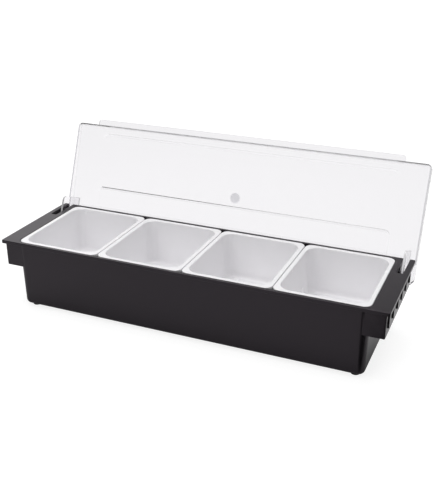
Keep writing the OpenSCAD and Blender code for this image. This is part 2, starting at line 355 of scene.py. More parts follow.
def both_ends(shells: Sequence[Shell]) -> list[Shell]:
    """Shells of the right-hand end, and the same for the left."""
    return [*shells, *(shell.mirrored() for shell in shells)]


def fuse(name: str, *groups: Sequence[Shell]) -> bpy.types.Object:
    """Makes one solid of closed shells.

    Args:
        name: The new object's name.
        *groups: Groups of shells, which are joined on and cut away by turns.

    Returns:
        The object, with its flat faces merged and its edges past a set angle kept sharp.
    """
    host = groups[0][0].to_object(name + "_host")
    tools = [host]
    turns = ["UNION" if number % 2 == 0 else "DIFFERENCE" for number in range(len(groups))]
    steps = [(turn, shell) for turn, group in zip(turns, groups) for shell in group][1:]
    for number, (operation, shell) in enumerate(steps):
        tool = shell.to_object(f"{name}_tool_{number}")
        tools.append(tool)
        step = host.modifiers.new(f"step_{number}", "BOOLEAN")
        step.operation, step.solver, step.object = operation, "MANIFOLD", tool
    graph = bpy.context.evaluated_depsgraph_get()
    mesh = bpy.data.meshes.new_from_object(host.evaluated_get(graph))
    mesh.name = name
    for tool in tools:
        data = tool.data
        bpy.data.objects.remove(tool)
        bpy.data.meshes.remove(data)
    work = bmesh.new()
    work.from_mesh(mesh)
    bmesh.ops.dissolve_limit(work, angle_limit=FLAT_ANGLE, verts=work.verts, edges=work.edges)
    work.to_mesh(mesh)
    work.free()
    mesh.shade_smooth()
    mesh.set_sharp_from_angle(angle=SHARP_ANGLE)
    obj = linked(name, mesh)
    weighted = obj.modifiers.new("flat_faces_stay_flat", "WEIGHTED_NORMAL")
    weighted.keep_sharp = True
    return obj


# ---------------------------------------------------------------- finishes


def linear(hex_colour: str) -> tuple[float, float, float, float]:
    """An sRGB colour such as "#a0b1c2" as the linear colour that a shader takes.

    Args:
        hex_colour: The colour's red, green and blue.

    Returns:
        The linear colour, with an alpha of 1.
    """
    channels = np.array([int(hex_colour[i:i + 2], 16) for i in (1, 3, 5)]) / 255
    curve = np.where(channels <= 0.04045, channels / 12.92, ((channels + 0.055) / 1.055) ** 2.4)
    return (*curve.tolist(), 1.0)


def add_node(tree: Tree, kind: str, inputs: Mapping[str | int, object] | None = None,
             **settings: object) -> bpy.types.Node:
    """Adds one node with its settings and links.

    Args:
        tree: The tree that it goes into.
        kind: The node's type.
        inputs: For each input, its own value or the output that feeds it.
        **settings: The node's other properties.

    Returns:
        The node.
    """
    node = tree.nodes.new(kind)
    for key, value in settings.items():
        setattr(node, key, value)
    for key, value in (inputs or {}).items():
        if isinstance(value, Socket):
            tree.links.new(value, node.inputs[key])
        else:
            node.inputs[key].default_value = value
    return node


def cleared_tree(owner: bpy.types.Material | bpy.types.World) -> Tree:
    """The emptied node tree of a material or world.

    Args:
        owner: The material or world.

    Returns:
        Its tree.
    """
    owner.use_nodes = True
    owner.node_tree.nodes.clear()
    return owner.node_tree


@dataclass(frozen=True)
class Finish:
    """A surface finish; subclasses give its shader."""

    name: str

    def material(self) -> bpy.types.Material:
        """The finish as a new material.

        Returns:
            The material.
        """
        made = bpy.data.materials.new(self.name)
        tree = cleared_tree(made)
        place = add_node(tree, "ShaderNodeTexCoord").outputs["Object"]
        surface = self.shader(tree, place)
        add_node(tree, "ShaderNodeOutputMaterial", {"Surface": surface})
        return made

    def shader(self, tree: Tree, place: Socket) -> Socket:
        """The finish's shader, at coordinates in metres."""
        raise NotImplementedError


@dataclass(frozen=True)
class TexturedBlackPlastic(Finish):
    """Black ABS from a spark-eroded mould: near black, with a soft even sheen and a fine grain."""

    colour: str = "#110f12"
    deep_colour: str = "#0d0b0e"
    sheen_colour: str = "#fff0ff"
    ior: float = 1.5
    roughness: tuple[float, float] = (0.31, 0.37)
    grain_mm: float = 0.9
    grain_depth_mm: float = 0.012
    cloud_mm: float = 60.0

    def shader(self, tree: Tree, place: Socket) -> Socket:
        """Grain as bump, and slow clouds in colour and roughness where the melt ran and cooled.

        The real grain is about 0.1 mm, too fine to show, so it is drawn coarser and shallow.

        Args:
            tree: The tree that it goes into.
            place: The coordinates, in metres.

        Returns:
            The shader's output.
        """
        cloud = add_node(tree, "ShaderNodeTexNoise", {
            "Vector": place, "Scale": 1 / (self.cloud_mm * MM),
            "Detail": CLOUD_LAYERS}).outputs["Fac"]
        grain = add_node(tree, "ShaderNodeTexNoise", {
            "Vector": place, "Scale": 1 / (self.grain_mm * MM), "Detail": GRAIN_LAYERS})
        share = add_node(tree, "ShaderNodeMapRange", {
            "Value": cloud, **NOISE_SPAN, "To Min": 0.0, "To Max": 1.0})
        tint = add_node(tree, "ShaderNodeMix", {
            0: share.outputs["Result"], MIX_FIRST: linear(self.deep_colour),
            MIX_SECOND: linear(self.colour)}, data_type="RGBA")
        rough = add_node(tree, "ShaderNodeMapRange", {
            "Value": cloud, **NOISE_SPAN, "To Min": self.roughness[0],
            "To Max": self.roughness[1]})
        bump = add_node(tree, "ShaderNodeBump", {
            "Height": grain.outputs["Fac"], "Strength": 1.0,
            "Distance": self.grain_depth_mm * MM})
        return add_node(tree, "ShaderNodeBsdfPrincipled", {
            "Base Color": tint.outputs[MIX_RESULT], "Specular Tint": linear(self.sheen_colour),
            "IOR": self.ior, "Roughness": rough.outputs["Result"],
            "Normal": bump.outputs["Normal"]}).outputs["BSDF"]


@dataclass(frozen=True)
class GlossyWhitePlastic(Finish):
    """White polypropylene from a polished mould: bright, slightly milky, with a clear gloss."""

    colour: str = "#f4f3f5"
    ior: float = 1.49
    roughness: tuple[float, float] = (0.16, 0.28)
    ripple_mm: float = 14.0
    ripple_depth_mm: float = 0.02
    wear_mm: float = 35.0

    def shader(self, tree: Tree, place: Socket) -> Socket:
        """A long shallow ripple bends the gloss, and handling dulls it in patches.

        Args:
            tree: The tree that it goes into.
            place: The coordinates, in metres.

        Returns:
            The shader's output.
        """
        ripple = add_node(tree, "ShaderNodeTexNoise", {
            "Vector": place, "Scale": 1 / (self.ripple_mm * MM), "Detail": GRAIN_LAYERS})
        wear = add_node(tree, "ShaderNodeTexNoise", {
            "Vector": place, "Scale": 1 / (self.wear_mm * MM), "Detail": WEAR_LAYERS})
        rough = add_node(tree, "ShaderNodeMapRange", {
            "Value": wear.outputs["Fac"], **NOISE_SPAN, "To Min": self.roughness[0],
            "To Max": self.roughness[1]})
        bump = add_node(tree, "ShaderNodeBump", {
            "Height": ripple.outputs["Fac"], "Strength": 1.0,
            "Distance": self.ripple_depth_mm * MM})
        return add_node(tree, "ShaderNodeBsdfPrincipled", {
            "Base Color": linear(self.colour), "IOR": self.ior,
            "Roughness": rough.outputs["Result"],
            "Normal": bump.outputs["Normal"]}).outputs["BSDF"]


@dataclass(frozen=True)
class ClearLidPlastic(Finish):
    """Clear styrene-acrylonitrile from a polished mould: glass-like, with a faint grey cast.

    Where a finish changes is worked out in the closed lid's place, so it turns with the lid, and
    each limit that a face lies on is moved off it by about slack_mm. The gate's frost starts and is
    full at gate_fade times the gate's radius.
    """

    lid: "ClearLid"
    tint: str = "#edecee"
    gate_tint: str = "#d4d3d7"
    edge_painted_shade: str = "#b0afb3"
    shadow_tint: str = "#e9ebec"
    ior: float = 1.57
    roughness: tuple[float, float] = (0.015, 0.045)
    haze_mm: float = 30.0
    edge_mm: float = 0.5
    slack_mm: float = 0.1
    gate_fade: tuple[float, float] = (1.45, 1.05)
    gate_roughness: float = 0.45
    front_roughness: float = 0.3
    tab_clarity: float = 0.35

    def shader(self, tree: Tree, place: Socket) -> Socket:
        """Glass that lamps shine through, hazed by wiping.

        It is frosted inside the gate's circle, duller on the front wall and its rounded top edge,
        greyer on the outer edges, where a painted shade stands in for the dark lines that light
        leaving it sideways gives, and milky on the tabs' edges.

        Args:
            tree: The tree that it goes into.
            place: The coordinates, in metres.

        Returns:
            The shader's output.
        """
        lid, hinge = self.lid, self.lid.hinge
        closed = add_node(tree, "ShaderNodeVectorRotate", {
            "Vector": place, "Center": (0, hinge.y * MM, hinge.z * MM),
            "Angle": math.radians(hinge.open_angle)}, rotation_type="X_AXIS").outputs["Vector"]
        x, y, z = add_node(tree, "ShaderNodeSeparateXYZ", {0: closed}).outputs
        out = add_node(tree, "ShaderNodeMath", {0: x}, operation="ABSOLUTE").outputs[0]
        gate_y, gate_z = lid.gate_centre()
        away = add_node(tree, "ShaderNodeVectorMath", {
            0: closed, 1: (0, gate_y * MM, gate_z * MM)}, operation="DISTANCE")
        gate = add_node(tree, "ShaderNodeMapRange", {
            "Value": away.outputs["Value"], "From Min": lid.gate_radius * self.gate_fade[0] * MM,
            "From Max": lid.gate_radius * self.gate_fade[1] * MM}).outputs["Result"]
        front = add_node(tree, "ShaderNodeMath", {
            0: y, 1: (lid.front + lid.edge / 2) * MM, 2: (lid.edge / 2 + self.slack_mm) * MM},
            operation="COMPARE")
        below = add_node(tree, "ShaderNodeMath", {
            0: z, 1: (lid.bottom - 2 * self.slack_mm) * MM}, operation="LESS_THAN")
        within = add_node(tree, "ShaderNodeMath", {
            0: out, 1: hinge.tab_x * MM, 2: (lid.tab_thickness / 2 - self.slack_mm / 2) * MM},
            operation="COMPARE")
        tab_edge = add_node(tree, "ShaderNodeMath", {
            0: within.outputs[0], 1: below.outputs[0]}, operation="MULTIPLY")
        clear = add_node(tree, "ShaderNodeMapRange", {
            "Value": tab_edge.outputs[0], "To Min": 1.0, "To Max": self.tab_clarity})
        wiped = add_node(tree, "ShaderNodeTexNoise", {
            "Vector": place, "Scale": 1 / (self.haze_mm * MM), "Detail": WEAR_LAYERS})
        haze = add_node(tree, "ShaderNodeMapRange", {
            "Value": wiped.outputs["Fac"], **NOISE_SPAN, "To Min": self.roughness[0],
            "To Max": self.roughness[1]})
        dull = add_node(tree, "ShaderNodeMath", {
            0: front.outputs[0], 1: self.front_roughness, 2: haze.outputs["Result"]},
            operation="MULTIPLY_ADD")
        frost = add_node(tree, "ShaderNodeMath", {
            0: gate, 1: self.gate_roughness, 2: dull.outputs[0]}, operation="MULTIPLY_ADD")
        body = add_node(tree, "ShaderNodeMix", {
            0: gate, MIX_FIRST: linear(self.tint), MIX_SECOND: linear(self.gate_tint)},
            data_type="RGBA")
        # Painted shade: the outer edges take a darker grey tint, in place of the dark lines that
        # refraction gives there.
        tint = add_node(tree, "ShaderNodeMix", {
            0: self.edges(tree, out, y, z), MIX_FIRST: body.outputs[MIX_RESULT],
            MIX_SECOND: linear(self.edge_painted_shade)}, data_type="RGBA")
        glass = add_node(tree, "ShaderNodeBsdfPrincipled", {
            "Base Color": tint.outputs[MIX_RESULT], "IOR": self.ior,
            "Transmission Weight": clear.outputs["Result"], "Roughness": frost.outputs[0]})
        shadow = add_node(tree, "ShaderNodeBsdfTransparent", {"Color": linear(self.shadow_tint)})
        path = add_node(tree, "ShaderNodeLightPath")
        return add_node(tree, "ShaderNodeMixShader", {
            0: path.outputs["Is Shadow Ray"], 1: glass.outputs["BSDF"],
            2: shadow.outputs["BSDF"]}).outputs["Shader"]

    def edges(self, tree: Tree, out: Socket, y: Socket, z: Socket) -> Socket:
        """Where a painted shade greys the plastic, in place of the dark lines that refraction gives
        at its edges.

        Args:
            tree: The tree that it goes into.
            out: The distance from the lid's middle, sideways.
            y: The closed lid's Y.
            z: Its height.

        Returns:
            1 at both ends' lower and top edges and at the lip's front edge, and otherwise 0.
        """
        lid, edge = self.lid, self.edge_mm
        end = add_node(tree, "ShaderNodeMath", {
            0: out, 1: (lid.half_x - lid.wall - self.slack_mm) * MM}, operation="GREATER_THAN")
        brink = add_node(tree, "ShaderNodeMath", {
            0: out, 1: (lid.half_x - edge) * MM}, operation="GREATER_THAN")
        low = add_node(tree, "ShaderNodeMath", {
            0: z, 1: (lid.bottom + edge) * MM}, operation="LESS_THAN")
        slope = lid.height(1.0) - lid.height(0.0)
        level = add_node(tree, "ShaderNodeMath", {0: y, 1: -slope, 2: z}, operation="MULTIPLY_ADD")
        high = add_node(tree, "ShaderNodeMath", {
            0: level.outputs[0], 1: (lid.height(0.0) - edge) * MM}, operation="GREATER_THAN")
        rim = add_node(tree, "ShaderNodeMath", {
            0: end.outputs[0], 1: low.outputs[0]}, operation="MULTIPLY")
        top = add_node(tree, "ShaderNodeMath", {
            0: brink.outputs[0], 1: high.outputs[0]}, operation="MULTIPLY")
        lip = add_node(tree, "ShaderNodeMath", {
            0: y, 1: (lid.front - lid.lip_reach + edge) * MM}, operation="LESS_THAN")
        ends = add_node(tree, "ShaderNodeMath", {
            0: rim.outputs[0], 1: top.outputs[0]}, operation="MAXIMUM")
        return add_node(tree, "ShaderNodeMath", {
            0: ends.outputs[0], 1: lip.outputs[0]}, operation="MAXIMUM").outputs[0]


@dataclass(frozen=True)
class FootRubber(Finish):
    """Black moulded rubber: matt and slightly grainy."""

    colour: str = "#131313"
    roughness: tuple[float, float] = (0.75, 0.9)
    grain_mm: float = 0.7
    grain_depth_mm: float = 0.02

    def shader(self, tree: Tree, place: Socket) -> Socket:
        """A dull surface with a fine grain as bump.

        Args:
            tree: The tree that it goes into.
            place: The coordinates, in metres.

        Returns:
            The shader's output.
        """
        grain = add_node(tree, "ShaderNodeTexNoise", {
            "Vector": place, "Scale": 1 / (self.grain_mm * MM),
            "Detail": GRAIN_LAYERS}).outputs["Fac"]
        rough = add_node(tree, "ShaderNodeMapRange", {
            "Value": grain, **NOISE_SPAN, "To Min": self.roughness[0],
            "To Max": self.roughness[1]})
        bump = add_node(tree, "ShaderNodeBump", {
            "Height": grain, "Strength": 1.0, "Distance": self.grain_depth_mm * MM})
        return add_node(tree, "ShaderNodeBsdfPrincipled", {
            "Base Color": linear(self.colour), "Roughness": rough.outputs["Result"],
            "Normal": bump.outputs["Normal"]}).outputs["BSDF"]


def dress(obj: bpy.types.Object, finish: Finish, body: str, nodes: Sequence[str]) -> None:
    """Gives a piece its finish, body, replaced nodes and material slot.

    Args:
        obj: The piece.
        finish: Its finish.
        body: The body that it rides on.
        nodes: The CAD nodes that it stands for.
    """
    made = bpy.data.materials.get(finish.name) or finish.material()
    obj.data.materials.clear()
    obj.data.materials.append(made)
    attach(obj, body)
    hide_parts(*nodes)
    LOG.info("%s: %d faces, rides on %s, stands for %s", obj.name, len(obj.data.polygons), body,
             ", ".join(nodes))


# ---------------------------------------------------------------- sub-assemblies


def box_mm(node: str) -> tuple[list[float], list[float]]:
    """A CAD node's lowest and highest corners, in millimetres."""
    low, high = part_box(node)
    return (np.array(low) / MM).tolist(), (np.array(high) / MM).tolist()


@dataclass(frozen=True)
class Hinge:
    """The lid's axis and what passes through the base along it, in millimetres and degrees."""

    y: float
    z: float
    open_angle: float
    tab_x: float = 239.25
    slot_width: float = 7.5
    slot_front: float = 29.98
    pin_diameter: float = 5.0
    pin_clearance: float = 0.08
    pin_from: float = 233.3
    pin_to: float = 244.6

    @classmethod
    def from_joints(cls, joints: Sequence[Mapping]) -> "Hinge":
        """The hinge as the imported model's lid joint states it.

        Args:
            joints: The frame's joints.

        Returns:
            The hinge.
        """
        joint = next(j for j in joints if j["name"] == "lid_hinge")
        _, y, z = joint["pos_m"]
        return cls(y / MM, z / MM, max(abs(a) for a in joint["range_deg"]))

    @property
    def slot_sides(self) -> tuple[float, float]:
        """The inner and the outer side of the right-hand slot."""
        return self.tab_x - self.slot_width / 2, self.tab_x + self.slot_width / 2

    @property
    def bore_radius(self) -> float:
        """Radius of the bores that the pins turn in."""
        return self.pin_diameter / 2 + self.pin_clearance


@dataclass(frozen=True)
class MouldedBase:
    """The black moulding: a drafted tub under a flat rim, with a hollow ribbed ear at each end."""

    half_length: float
    half_depth: float
    bottom: float
    rim_top: float
    hinge: Hinge
    rim_thickness: float = 4.3
    rim_corner: float = 2.0
    rim_edge: float = 0.9
    tub_half: tuple[float, float] = (228.0, 71.3)
    tub_corner: float = 10.0
    draft: float = 1.7
    fillet: float = 6.0
    wall: float = 2.6
    recess_half: tuple[float, float] = (228.0, 69.0)
    recess_corner: float = 9.5
    shelf_y: float = 66.0
    ear_x: float = 246.0
    ear_y: float = 70.3
    ear_height: float = 34.5
    ear_corner: float = 1.5
    rib_offsets: tuple[float, ...] = (12.0, 36.0, 60.0)
    rib_thickness: float = 2.2
    rib_reach: float = 1.8
    rib_height: float = 25.0
    rib_corner: float = 0.6
    collar_x: float = 230.6
    inner_corner: float = 0.5
    notch_corner: float = 1.2
    slot_corner: float = 0.8
    sill_drop: float = 24.58
    cheek_margin: float = 5.0
    cheek_corner: float = 2.5
    cheek_sunk: float = 0.1
    bore_skin: float = 1.0
    bead_root_corner: float = 0.2
    small_edge: float = 0.4
    least_edge: float = 0.3

    @property
    def rim_under(self) -> float:
        """Height of the rim's underside."""
        return self.rim_top - self.rim_thickness

    def rim(self) -> Shell:
        """The flat rim, open at the rear where the lid's tabs pass through it.

        Returns:
            The closed shell.
        """
        x, y = self.half_length, self.half_depth
        inner, outer = self.hinge.slot_sides
        front = self.hinge.slot_front
        right = [(x, y), (outer, y), (outer, front), (inner, front), (inner, y)]
        left = [(-a, b) for a, b in right[::-1]]
        corners = [(-x, -y), (x, -y), *right, *left]
        around = [self.rim_corner, *[self.notch_corner] * 4]
        radii = [self.rim_corner] * 2 + around + around[::-1]
        return prism(Outline.filleted(corners, radii), self.rim_under, self.rim_top,
                     self.small_edge, self.rim_edge)

    def tub(self) -> Shell:
        """The tub's outside, from its underside to the middle of the rim.

        Returns:
            The closed shell.
        """
        outline = Outline.block(self.tub_half[0], -self.tub_half[1], self.tub_half[1],
                                self.tub_corner)
        height = self.rim_top - self.bottom - self.rim_thickness / 2
        return Shell.loft(drafted_rings(outline, self.bottom, height, self.draft, self.fillet))

    def well(self) -> Shell:
        """The space inside the tub, up to the shelf that carries the trays.

        Returns:
            The closed shell.
        """
        x, y = (half - self.wall for half in self.tub_half)
        outline = Outline.block(x, -y, y, self.tub_corner - self.wall)
        floor = self.bottom + self.wall
        return Shell.loft(drafted_rings(outline, floor, self.rim_under - floor, self.draft,
                                        self.fillet - self.wall) + [
            outline.ring(0, self.rim_under + OVERSHOOT)])

    def recess(self) -> Shell:
        """The opening in the rim that takes the trays' rims, flared at its upper edge.

        Returns:
            The closed shell.
        """
        x, y = self.recess_half
        return prism(Outline.block(x, -y, y, self.recess_corner), self.rim_under, self.rim_top,
                     0.0, -self.small_edge)

    def collar(self) -> Shell:
        """The thickening under the rim, between the tub's end wall and the ear."""
        return prism(Outline.block(self.collar_x, -self.ear_y, self.ear_y, self.ear_corner),
                     self.rim_under - self.wall, self.rim_under + OVERSHOOT, self.small_edge)

    def ear(self) -> Shell:
        """The right-hand ear: an end wall with a front and a rear wall, open below.

        Returns:
            The closed shell.
        """
        start, end, y = self.tub_half[0] - self.tub_corner, self.ear_x, self.ear_y
        inside = y - self.wall
        corners = [(start, -y), (end, -y), (end, y), (start, y), (start, inside),
                   (end - self.wall, inside), (end - self.wall, -inside), (start, -inside)]
        radii = [self.inner_corner, self.ear_corner, self.ear_corner, *[self.inner_corner] * 5]
        return prism(Outline.filleted(corners, radii), self.rim_top - self.ear_height,
                     self.rim_under + OVERSHOOT, self.small_edge)

    def ear_roof(self) -> Shell:
        """What is cut from the rim's underside over the right-hand ear, to leave one wall.

        Returns:
            The closed shell.
        """
        inside = self.ear_y - self.wall
        corners = [(self.collar_x, -inside), (self.ear_x - self.wall, -inside),
                   (self.ear_x - self.wall, inside), (self.collar_x, inside)]
        return prism(Outline.filleted(corners, self.inner_corner), self.rim_under - OVERSHOOT,
                     self.rim_top - self.wall)

    def rib(self, y: float) -> Shell:
        """A fin on the right-hand ear's end face, from the rim down.

        Args:
            y: Its place along the end face.

        Returns:
            The closed shell.
        """
        low, high = self.rim_top - self.rib_height, self.rim_under + OVERSHOOT
        root, tip = self.ear_x - OVERSHOOT, self.ear_x + self.rib_reach
        corners = [(root, low), (tip, low), (tip, high), (root, high)]
        radii = [self.least_edge, self.rib_corner, self.least_edge, self.least_edge]
        half = self.rib_thickness / 2
        return prism(Outline.filleted(corners, radii, FEW_STEPS), -y - half, -y + half,
                     self.small_edge, self.small_edge, Plane.FRONT)

    def cheek(self) -> Shell:
        """The plate beside the right-hand slot that carries the lid's inner pin.

        Returns:
            The closed shell.
        """
        inner = self.hinge.slot_sides[0] - self.wall
        reach = self.hinge.bore_radius + self.cheek_margin
        front, rear = self.hinge.y - reach, self.ear_y - self.wall / 2
        low, high = self.hinge.z - reach, self.rim_top - self.wall + self.cheek_sunk
        corners = [(front, low), (rear, low), (rear, high), (front, high)]
        outline = Outline.filleted(corners, [self.cheek_corner, *[self.least_edge] * 3])
        return prism(outline, inner, inner + self.wall, self.small_edge, self.small_edge,
                     Plane.SIDE)

    def slot(self) -> list[Shell]:
        """What is cut from the ear's rear wall, so that a tab can swing down behind it.

        Below the rim the cut flares to the rear. Within the rim it is as wide as the rim's own
        opening, and takes away the end of the wall that is sunk in the rim.

        Returns:
            The lower and the upper cut.
        """
        inner, outer = self.hinge.slot_sides
        sill, under, top = self.rim_top - self.sill_drop, self.rim_under, self.rim_top
        start = under - OVERSHOOT / 2
        lower = Outline.filleted([(inner, sill), (outer, sill), (outer, under), (inner, under)],
                                 [*[self.slot_corner] * 2, *[NEARLY_SHARP] * 2])
        upper = Outline.filleted([(inner, start), (outer, start), (outer, top), (inner, top)],
                                 NEARLY_SHARP)
        rear, face = -self.ear_y, self.wall - self.ear_y
        return [prism(lower, rear, face, -self.small_edge, 0.0, Plane.FRONT),
                prism(upper, rear - OVERSHOOT, face + OVERSHOOT, plane=Plane.FRONT)]

    def bores(self) -> list[Shell]:
        """The holes for the pins: through the cheek, and blind in the ear's end wall.

        Returns:
            The cut through the cheek and the one in the end wall.
        """
        circle = Outline.circle((self.hinge.y, self.hinge.z), self.hinge.bore_radius)
        inner, face = self.hinge.slot_sides[0] - self.wall, self.ear_x - self.wall
        through = prism(circle, inner, inner + self.wall, -self.least_edge, -self.least_edge,
                        Plane.SIDE)
        blind = prism(circle, face - OVERSHOOT, face + self.wall - self.bore_skin,
                      plane=Plane.SIDE)
        return [through, blind]

    def bead(self) -> Shell:
        """The ledge along the rear wall that the trays' rims rest on; its ends taper away.

        Returns:
            The closed shell.
        """
        top, root = self.rim_under, self.tub_half[1] - self.wall / 2
        nose = top - self.wall / 2
        corners = [(self.shelf_y, top), (self.shelf_y, nose),
                   (root, nose - root + self.shelf_y), (root, top)]
        half = self.tub_half[0] - self.tub_corner
        radii = [*[self.small_edge] * 2, *[self.bead_root_corner] * 2]
        return prism(Outline.filleted(corners, radii, FEW_STEPS), -half, half, self.small_edge,
                     self.small_edge, Plane.SIDE)

    def build(self) -> bpy.types.Object:
        """The whole moulding as one solid.

        Returns:
            The object.
        """
        ribs = [self.rib(s * y) for y in self.rib_offsets for s in (-1, 1)]
        bead = self.bead()
        return fuse("moulded_base",
                    [self.rim(), self.tub(), self.collar(), *both_ends([self.ear(), *ribs])],
                    [self.recess(), self.well(), *both_ends([self.ear_roof(), *self.slot()])],
                    [bead, bead.mirrored(1), *both_ends([self.cheek()])],
                    both_ends(self.bores()))


@dataclass(frozen=True)
class Tray:
    """A lift-out tray: a drafted pan hung from a rim whose edge is turned down."""

    number: int
    centre_x: float
    half_x: float
    half_y: float
    floor_under: float
    rim_top: float
    lip_bottom: float
    wall: float = 2.0
    rim_width: float = 5.4
    rim_corner: float = 9.0
    corner: float = 15.0
    draft: float = 5.0
    fillet: float = 7.0
    lip_thickness: float = 1.6
    lip_edge: float = 0.5
    rim_edge: float = 0.8
    mouth_edge: float = 1.2

    @classmethod
    def from_frame(cls, number: int, lip_bottom: float) -> "Tray":
        """A tray where its CAD node is.

        Args:
            number: Which tray, from 1 to 4.
            lip_bottom: Height of its rim's lower edge.

        Returns:
            The tray.
        """
        low, high = box_mm(f"tray_{number}")
        return cls(number, (low[0] + high[0]) / 2, (high[0] - low[0]) / 2, (high[1] - low[1]) / 2,
                   low[2], high[2], lip_bottom)

    def rings(self) -> list[Array]:
        """Rings from under the floor, up the outside, over the rim and down the inside.

        Returns:
            The rings, in order.
        """
        rim = Outline.block(self.half_x, -self.half_y, self.half_y, self.rim_corner)
        in_x, in_y = self.half_x - self.rim_width, self.half_y - self.rim_width
        inside = Outline.block(in_x, -in_y, in_y, self.corner)
        outside = Outline.block(in_x + self.wall, -in_y - self.wall, in_y + self.wall,
                                self.corner + self.wall)
        height = self.rim_top - self.floor_under
        under = self.rim_top - self.wall
        rings = drafted_rings(outside, self.floor_under, height - self.wall / 2, self.draft,
                              self.fillet + self.wall, under)
        rings += [rim.ring(self.lip_thickness, under),
                  rim.ring(self.lip_thickness, self.lip_bottom),
                  *rim.lower_rings(self.lip_bottom, self.lip_edge),
                  *rim.upper_rings(self.rim_top, self.rim_edge),
                  *inside.upper_rings(self.rim_top, -self.mouth_edge)[::-1]]
        inner = drafted_rings(inside, self.floor_under + self.wall, height - self.wall, self.draft,
                              self.fillet, self.rim_top - self.mouth_edge)
        return rings + inner[-2::-1]

    def build(self) -> bpy.types.Object:
        """The tray as one solid."""
        return fuse(f"tray_{self.number}_pan", [Shell.loft(self.rings()).moved(self.centre_x)])


@dataclass(frozen=True)
class ClearLid:
    """The one-piece lid, worked out closed and then swung open about its hinge.

    Its top slopes: at a run r from the front wall it is front_height + slope r above its lower
    edge. Two areas of it are raised, the front one fading out towards the middle.
    """

    half_x: float
    bottom: float
    hinge: Hinge
    front: float = -75.0
    rear: float = 75.3
    front_height: float = 8.0
    rear_height: float = 14.0
    wall: float = 2.0
    front_corner: float = 6.0
    rear_corner: float = 8.0
    edge: float = 3.0
    side_edge: float = 1.2
    least_edge: float = 0.25
    small_edge: float = 0.4
    rear_gap: float = 2.7
    rear_gap_start: float = 71.5
    swing_radius: float = 19.925
    lip_half: float = 217.5
    lip_reach: float = 7.5
    lip_thickness: float = 2.4
    lip_corner: float = 4.0
    lip_root_corner: float = 0.5
    lip_edge: float = 0.7
    panel_half: float = 210.5
    panel_rise: float = 1.6
    panel_corner: float = 7.0
    panel_rear_corner: float = 1.0
    panel_sunk: float = 0.05
    fade_overrun: float = 3.0
    panel_slope: float = 3.2
    end_slope: float = 4.3
    front_panel: tuple[float, float] = (11.0, 58.0)
    rear_panel: tuple[float, float] = (87.0, 147.3)
    gate_radius: float = 5.5
    gate_rise: float = 0.4
    gate_edge: float = 0.3
    tab_thickness: float = 2.5
    tab_front: float = 28.5
    tab_rear: float = 5.0
    tab_drop: float = 16.0
    tab_corner: float = 6.0
    tab_root_corner: float = 0.2
    gap_corner: float = 0.1
    swing_steps: int = 96

    def height(self, y: Array | float) -> Array | float:
        """Height of the top's outside at a distance from the back to the front."""
        slope = (self.rear_height - self.front_height) / (self.rear - self.front)
        return self.bottom + self.front_height + slope * (y - self.front)

    def shell(self, inset: float) -> Shell:
        """The lid's outside, or its hollow when inset is its wall.

        The top edge's radius goes from edge at the front and rear to side_edge at the ends with the
        square of the outline normal's Y.

        Args:
            inset: How far inside the outside surface it lies.

        Returns:
            The closed shell, before the swing.
        """
        outline = Outline.block(self.half_x, self.front, self.rear, self.front_corner,
                                self.rear_corner)
        facing = outline.normals[:, 1] ** 2
        radius = self.side_edge + (self.edge - self.side_edge) * facing
        angle = np.linspace(0, math.pi / 2, EDGE_STEPS * 2 + 1)
        curve = np.maximum(radius - inset, self.least_edge)
        rings = ([outline.ring(inset, self.bottom - OVERSHOOT)] if inset else
                 outline.lower_rings(self.bottom, self.small_edge))
        for t in angle:
            step = inset + curve * (1 - math.cos(t))
            ring = outline.ring(step, 0)
            ring[:, 2] = self.height(ring[:, 1]) - inset - curve * (1 - math.sin(t))
            rings.append(ring)
        return Shell.loft(rings)

    def panel(self, span: tuple[float, float], fades: bool, inset: float) -> Shell:
        """A raised area of the top, or of its hollow when inset is the wall.

        Its side climbs as 3 t^2 - 2 t^3 while the outline moves in, by panel_slope at the front and
        rear and by end_slope at the ends. A fading panel's rise goes down evenly to nothing at the
        end of its span, and on below the top.

        Args:
            span: Where it starts and ends, measured from the lid's front wall.
            fades: True for the front panel.
            inset: How far inside the outside surface it lies.

        Returns:
            The closed shell, before the swing.
        """
        start, stop = span[0] + inset, span[1] + (self.fade_overrun if fades else -inset)
        outline = Outline.block(self.panel_half - inset, self.front + start, self.front + stop,
                                self.panel_corner - inset, self.panel_rear_corner)
        width = self.panel_slope + (self.end_slope - self.panel_slope) * outline.normals[:, 0] ** 2
        rings = []
        for t in [-1.0, *np.linspace(0, 1, EDGE_STEPS * 2 + 1)]:
            ring = outline.ring(width * (max(t, 0) - 0.5), 0)
            run = ring[:, 1] - self.front
            rise = self.panel_rise * ((span[1] - run) / (span[1] - span[0]) if fades else 1.0)
            climb = 3 * t ** 2 - 2 * t ** 3 if t >= 0 else 0.0
            low = self.panel_sunk if t >= 0 else self.wall / 2
            ring[:, 2] = self.height(ring[:, 1]) - inset - low + (rise + low) * climb
            rings.append(ring)
        return Shell.loft(rings)

    def lip(self) -> Shell:
        """The strip along the front by which the lid is lifted.

        Returns:
            The closed shell.
        """
        outline = Outline.block(self.lip_half, self.front - self.lip_reach, self.front + self.wall,
                                self.lip_corner, self.lip_root_corner)
        return prism(outline, self.bottom, self.bottom + self.lip_thickness, self.lip_edge,
                     self.lip_edge)

    def gate_centre(self) -> tuple[float, float]:
        """Where the mould's gate was: the middle of the top, as y and z."""
        y = (self.front + self.rear) / 2
        return y, self.height(y)

    def gate_mark(self) -> Shell:
        """The low round witness that the gate left.

        Returns:
            The closed shell.
        """
        y, z = self.gate_centre()
        return prism(Outline.circle((0, y), self.gate_radius), z - self.wall / 2,
                     z + self.gate_rise, 0.0, self.gate_edge)

